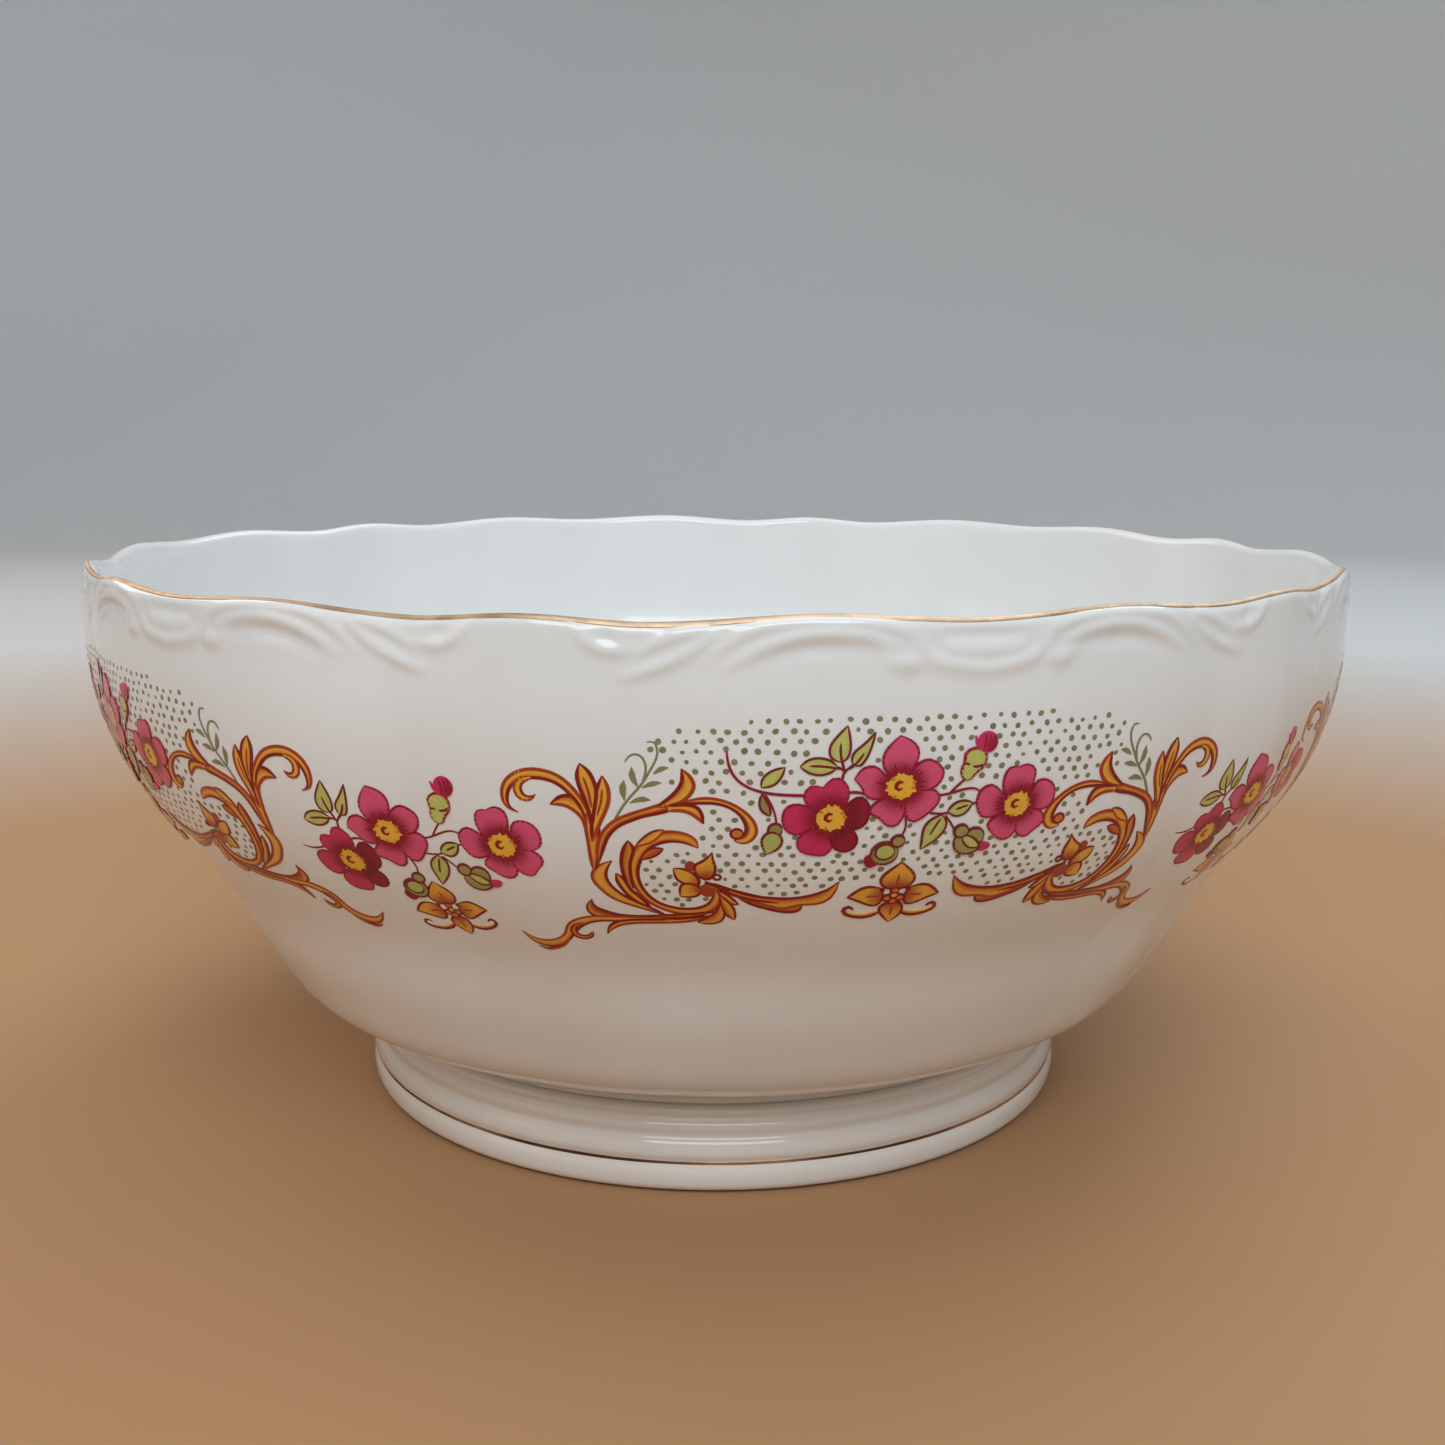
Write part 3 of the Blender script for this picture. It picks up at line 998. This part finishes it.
    p.stroke([(-1.4, 40.6), (0.2, 41), (2.2, 42)], [0.5, 0.9, 0.3], MAROON)


# Half of the dotted ground's outline, from the top middle down the left to the bottom middle.
DOT_FIELD = [
    (FRAME_MIDDLE, 13.6), (12, 13.8), (2, 14.2), (-4, 15.2), (-8, 17), (-9.6, 19.2), (-8.4, 22.6),
    (-5.6, 25.2), (-1, 27), (-0.8, 30), (-2, 31), (-1.6, 34), (-4, 34), (-7, 34.6), (-9.6, 36.6),
    (-10.8, 39.5), (-10.2, 42.4), (-8.2, 45), (-4.6, 46.4), (-1.4, 45.6), (0, 41), (3, 41.4), (8, 43.2),
    (13, 43), (17, 41), (20, 40.6), (23, 39.8), (FRAME_MIDDLE, 37),
]


def dotted_ground(p, drawn):
    """Staggered hand-engraved dots wherever the drawing leaves the ground free."""
    source = random.Random(4)
    half = np.array(DOT_FIELD)
    field = np.concatenate([half, mirrored(half[::-1])])
    first_across, first_down = -12.0, 14.1
    rows, dots_in_row = 23, 38
    row_gap, dot_gap, clearance = 1.5, 2.12, 0.4
    for row in range(rows):
        stagger = dot_gap / 2 * (row % 2)
        for step in range(dots_in_row):
            place = np.array([first_across + stagger + step * dot_gap, first_down + row * row_gap])
            place += (source.uniform(-0.3, 0.3), source.uniform(-0.22, 0.22))
            size = source.choice((0.36, 0.42, 0.45, 0.47, 0.5, 0.52))
            squash = source.uniform(0.82, 1.0)
            turn = source.uniform(0, 180)
            tone = source.uniform(0.85, 1.1)
            if inside(field, place) and not drawn.covers(place, clearance):
                p.oval(place, (size, size * squash), OLIVE * tone, turn, count=8)


def cartouche():
    """The dotted ground, and the frame and flowers drawn over it."""
    drawn = Print()
    half = Print()
    sage_sprig(half)
    corner_scroll(half)
    drawn.tiles += both_sides(half)
    vine(drawn)
    gold_flower(drawn)
    bouquet(drawn)
    ground = Print()
    dotted_ground(ground, drawn)
    return ground, drawn


def turned_to(old, new, degrees, scale=1.0):
    """Move that takes the place old to new, with a turn about it."""
    c, s = math.cos(math.radians(degrees)), math.sin(math.radians(degrees))

    def change(places):
        x, y = ((places - np.array(old)) * scale).T
        return np.stack([new[0] + x * c - y * s, new[1] + x * s + y * c], axis=1)

    return change


def rose_spray():
    """The bouquet again, tilted up to the right, over a gold flower. It has no ground."""
    flowers, stem, gold, drawn = Print(), Print(), Print(), Print()
    bouquet(flowers)
    stem.stroke([(-66.9, 39.2), (-64.6, 39.4), (-61.6, 38.4)], [0.2, 0.42, 0.4], CRIMSON)
    gold_flower(gold)
    drawn.tiles += stem.tiles
    drawn.tiles += gold.moved(turned_to(FLOWER_HEART, (-43.8, 50.4), -10.0)).tiles
    drawn.tiles += flowers.moved(turned_to(LEFT_ROSE, (-58.0, 40.95), -11.7, 1.042)).tiles
    return Print(), drawn


def loop_area(loop):
    """Twice the area inside a closed loop, positive when it runs from across towards down."""
    ahead = np.roll(loop, -1, axis=0)
    return float(np.sum(loop[:, 0] * ahead[:, 1] - loop[:, 1] * ahead[:, 0]))


def print_piece(name, ground, drawn, turn, material, node):
    """One transfer, laid on the wall a turn of the bowl away from where it was drawn."""
    tiles = ground.tiles + drawn.tiles
    proud = [FIRST_PROUD] * len(ground.tiles)
    proud += [FIRST_PROUD + NEXT_PROUD * (i + 1) for i in range(len(drawn.tiles))]
    places = np.concatenate([tile[0] for tile in tiles])
    height = np.concatenate([np.full(len(tile[0]), h) for tile, h in zip(tiles, proud)])
    azimuth = turn + np.degrees(places[:, 0] / ACROSS_RADIUS)
    top = outer_surface(azimuth, places[:, 1], height)
    under = outer_surface(azimuth, places[:, 1], np.full(len(places), SUNK))
    total = len(places)
    faces = []
    start = 0
    for spots, _, tile_faces, rim in tiles:
        if loop_area(spots[list(tile_faces[0])]) > 0:
            tile_faces = [face[::-1] for face in tile_faces]
        if loop_area(spots[rim]) > 0:
            rim = rim[::-1]
        faces += [tuple(start + i for i in face) for face in tile_faces]
        faces += [tuple(total + start + i for i in face[::-1]) for face in tile_faces]
        for a, b in zip(rim, rim[1:] + rim[:1]):
            faces.append((start + b, start + a, total + start + a, total + start + b))
        start += len(spots)
    piece = make_piece(name, np.concatenate([top, under]), faces, material, node)
    piece.data.set_sharp_from_angle(angle=math.radians(40))
    tint = np.ones((2 * total, 4), np.float32)
    tint[:total, :3] = tint[total:, :3] = np.concatenate([tile[1] for tile in tiles])
    layer = piece.data.color_attributes.new("enamel", "FLOAT_COLOR", "POINT")
    layer.data.foreach_set("color", tint.ravel())


# ---- materials ----
class Nodes:
    """Short way to wire a material's nodes."""

    def __init__(self, name):
        self.material = bpy.data.materials.new(name)
        self.material.use_nodes = True
        self.tree = self.material.node_tree
        self.shader = self.tree.nodes["Principled BSDF"]
        self.where = self.add("ShaderNodeTexCoord").outputs["Object"]

    def add(self, kind, **settings):
        node = self.tree.nodes.new(kind)
        for key, value in settings.items():
            setattr(node, key, value)
        return node

    def set(self, socket, value):
        """Give a socket a number, a linear colour or another node's output."""
        if isinstance(value, bpy.types.NodeSocket):
            self.tree.links.new(value, socket)
        else:
            socket.default_value = (*value, 1) if isinstance(value, tuple) else value

    def put(self, name, value):
        """Set one of the shader's own inputs."""
        self.set(self.shader.inputs[name], value)

    def noise(self, scale, detail, roughness=0.5):
        node = self.add("ShaderNodeTexNoise")
        for name, value in (("Scale", scale), ("Detail", detail), ("Roughness", roughness)):
            node.inputs[name].default_value = value
        self.set(node.inputs["Vector"], self.where)
        return node.outputs["Fac"]

    def ramp(self, source, stops):
        """Colour ramp from (place, linear colour) stops."""
        node = self.add("ShaderNodeValToRGB")
        elements = node.color_ramp.elements
        while len(elements) < len(stops):
            elements.new(0.5)
        for element, (place, colour) in zip(elements, stops):
            element.position = place
            element.color = (*colour, 1)
        self.set(node.inputs["Fac"], source)
        return node.outputs["Color"]

    def spread(self, source, low, high, start=0.3, end=0.7):
        """Number from low to high as the source goes from start to end."""
        node = self.add("ShaderNodeMapRange")
        for key, value in (("From Min", start), ("From Max", end), ("To Min", low), ("To Max", high)):
            node.inputs[key].default_value = value
        self.set(node.inputs["Value"], source)
        return node.outputs["Result"]

    def mix(self, factor, a, b, how="MIX"):
        """Colour between a and b. Each of the three may be another node's output."""
        node = self.add("ShaderNodeMix", data_type="RGBA", blend_type=how)
        for socket, value in ((node.inputs["Factor"], factor), (node.inputs[6], a), (node.inputs[7], b)):
            self.set(socket, value)
        return node.outputs[2]

    def bump(self, source, depth, strength):
        """Relief of the shading only, from a source; depth is in metres."""
        node = self.add("ShaderNodeBump")
        node.inputs["Distance"].default_value = depth
        node.inputs["Strength"].default_value = strength
        self.set(node.inputs["Height"], source)
        self.put("Normal", node.outputs["Normal"])


def glazed_porcelain(name, light, shade):
    """Ivory-white ware under clear glaze: slow change of tone, rare fired specks, a soft ripple."""
    n = Nodes(name)
    body = n.ramp(n.noise(22, 4), [(0.35, shade), (0.65, light)])
    cells = n.add("ShaderNodeTexVoronoi")
    cells.inputs["Scale"].default_value = 85
    n.set(cells.inputs["Vector"], n.where)
    speck = n.spread(cells.outputs["Distance"], 0.45, 0.0, start=0.010, end=0.016)
    body = n.mix(speck, body, (0.30, 0.24, 0.18))
    n.put("Base Color", body)
    n.put("Roughness", n.spread(n.noise(40, 4), 0.07, 0.12))
    n.put("IOR", 1.5)
    n.bump(n.noise(95, 2), 0.00005, 0.5)
    return n.material


def bare_porcelain():
    """Unglazed biscuit on the standing face, ground and a little dirty."""
    n = Nodes("bare_porcelain")
    biscuit = n.ramp(n.noise(160, 6, 0.6), [(0.3, (0.50, 0.45, 0.38)), (0.7, (0.68, 0.64, 0.57))])
    n.put("Base Color", biscuit)
    n.put("Roughness", n.spread(n.noise(400, 3), 0.6, 0.85))
    n.bump(n.noise(900, 4), 0.00003, 0.7)
    return n.material


def burnished_gold(name, bright, dull, wear):
    """Thin fired gold: satin, and browner along the stretches where wear has left little of it."""
    n = Nodes(name)
    stretches = n.ramp(n.noise(26, 2), [(0.42, dull), (0.58, bright)])
    brushed = n.ramp(n.noise(300, 5, 0.6), [(0.3, (0.7, 0.7, 0.7)), (0.62, (1.0, 1.0, 1.0))])
    n.put("Base Color", n.mix(1.0, stretches, brushed, "MULTIPLY"))
    n.put("Metallic", 1.0)
    n.put("Roughness", n.spread(n.noise(520, 4), 0.22 + wear, 0.42 + wear))
    n.bump(n.noise(800, 3), 0.00002, 0.5)
    return n.material


def printed_enamel():
    """Fired transfer colours, a little mottled where the colour lies thick and thin."""
    n = Nodes("printed_enamel")
    paint = n.add("ShaderNodeVertexColor", layer_name="enamel").outputs["Color"]
    mottle = n.ramp(n.noise(1500, 4, 0.6), [(0.3, (0.86, 0.86, 0.86)), (0.7, (1.0, 1.0, 1.0))])
    n.put("Base Color", n.mix(1.0, paint, mottle, "MULTIPLY"))
    n.put("Roughness", n.spread(n.noise(1100, 3), 0.1, 0.2))
    n.bump(n.noise(2600, 2), 0.00001, 0.4)
    return n.material


# ---- the pieces ----
def build_bowl():
    """Every piece of the bowl, each in its CAD node's place."""
    glaze = glazed_porcelain("glazed_porcelain", (0.84, 0.845, 0.835), (0.80, 0.805, 0.79))
    body = bowl_mesh()
    make_piece("bowl_shell", body.all_points(), body.faces, glaze, "bowl_body")

    foot = foot_mesh()
    foot_glaze = glazed_porcelain("foot_glaze", (0.86, 0.81, 0.75), (0.82, 0.77, 0.71))
    piece = make_piece(
        "turned_foot", foot.all_points(), foot.faces, foot_glaze, "foot_ring")
    piece.data.materials.append(bare_porcelain())
    for face in piece.data.polygons:
        faces_down = face.normal.z < -0.5
        if faces_down and face.center.z < STANDING_FACE_TOP * MM:
            face.material_index = 1

    gold = rim_gold_mesh()
    lip_gold = burnished_gold("lip_gold", (0.82, 0.59, 0.40), (0.62, 0.41, 0.26), 0.18)
    make_piece("lip_gold_band", gold.all_points(), gold.faces, lip_gold, "rim_gilding")
    line = foot_gold_mesh()
    foot_gold = burnished_gold("foot_gold", (0.74, 0.48, 0.30), (0.20, 0.11, 0.06), 0.15)
    make_piece("foot_gold_line", line.all_points(), line.faces, foot_gold, "foot_gilding")

    enamel = printed_enamel()
    ground, drawn = cartouche()
    no_ground, spray = rose_spray()
    for i, turn in enumerate(PRINT_TURNS):
        print_piece(f"cartouche_print_{i + 1}", ground, drawn, turn, enamel,
                    f"cartouche_decal_{i + 1}")
        print_piece(f"rose_spray_print_{i + 1}", no_ground, spray, turn, enamel,
                    f"rose_spray_decal_{i + 1}")


# ---- studio ----
def build_studio():
    """Round floor, tan near the bowl and pale further out, that sweeps up to a pale wall all round."""
    floor_radius, bend, top, columns = 1.6, 0.5, 2.6, 96
    tan, pale = (0.46, 0.255, 0.12), (0.68, 0.68, 0.68)
    tan_ends, pale_starts = 0.3, 0.78  # metres from the middle
    section = [(0.25, 0.0), (0.6, 0.0), (1.1, 0.0), (floor_radius, 0.0)]
    turns = [math.pi / 2 * i / 12 for i in range(1, 13)]
    section += [(floor_radius + bend * math.sin(a), bend - bend * math.cos(a)) for a in turns]
    section.append((floor_radius + bend, top))
    sweep = RingMesh()
    for r, z in section:
        sweep.ring(turned_ring(r, z, columns)[::-1])
    sweep.fan((0, 0, 0), sweep.first[::-1])
    n = Nodes("studio_paper")
    distance = n.add("ShaderNodeVectorMath", operation="LENGTH")
    n.set(distance.inputs[0], n.where)
    share = n.spread(distance.outputs["Value"], 0, 1, tan_ends, pale_starts)
    n.put("Base Color", n.ramp(share, [(0.0, tan), (1.0, pale)]))
    n.put("Roughness", 0.8)
    smooth_mesh("studio_sweep", sweep.all_points(), sweep.faces, n.material)


def area_light(name, place, aim, size, watts, colour):
    """Rectangular lamp, turned so that its -Z points at aim."""
    data = bpy.data.lights.new(name, "AREA")
    data.shape = "RECTANGLE"
    data.size, data.size_y = size
    data.energy = watts
    data.color = colour
    lamp = placed(name, data)
    lamp.location = place
    x, y, z = np.array(aim) - np.array(place)
    lamp.rotation_euler = (math.atan2(math.hypot(x, y), -z), 0.0, math.atan2(-x, y))


def build_lights():
    area_light("key_front", (0.0, -1.32, 1.22), (0, 0, 0.08), (1.2, 0.8), 15.7, (0.86, 0.94, 1.0))
    area_light("lamp_left", (-1.25, -0.6, 0.6), (0, 0, 0.05), (0.45, 0.6), 0.9, (1.0, 0.62, 0.36))
    area_light("window_behind", (0.7, 1.0, 1.25), (0, 0, 0.08), (1.0, 0.8), 7.6, (0.76, 0.91, 1.0))
    area_light("lamp_behind", (-1.0, 0.8, 0.9), (0, 0, 0.08), (0.8, 0.8), 4.4, (1.0, 0.86, 0.72))
    area_light("ceiling", (0.1, -0.1, 1.6), (0, 0, 0), (1.3, 1.1), 9.2, (0.95, 0.975, 1.0))
    world = bpy.data.worlds.new("soft_room")
    world.use_nodes = True
    background = world.node_tree.nodes["Background"]
    background.inputs["Color"].default_value = (1.0, 1.0, 1.0, 1)
    background.inputs["Strength"].default_value = 0.05
    bpy.context.scene.world = world


def build_camera():
    """Phone camera a little above the rim, 35 cm from the bowl's axis."""
    data = bpy.data.cameras.new("camera")
    data.sensor_width = 36.0
    data.lens = 40.21
    data.clip_start = 0.01
    camera = placed("camera", data)
    camera.location = (0, -0.348, 0.1376)
    down, right, roll = math.radians(10.41), math.radians(0.28), math.radians(-0.23)
    heading = Matrix.Rotation(-right, 4, "Z")
    pitch = Matrix.Rotation(math.pi / 2 - down, 4, "X")
    camera.rotation_euler = (heading @ pitch @ Matrix.Rotation(-roll, 4, "Z")).to_euler()
    bpy.context.scene.camera = camera


build_camera()
build_bowl()
build_studio()
build_lights()
bpy.context.scene.view_settings.view_transform = "Standard"
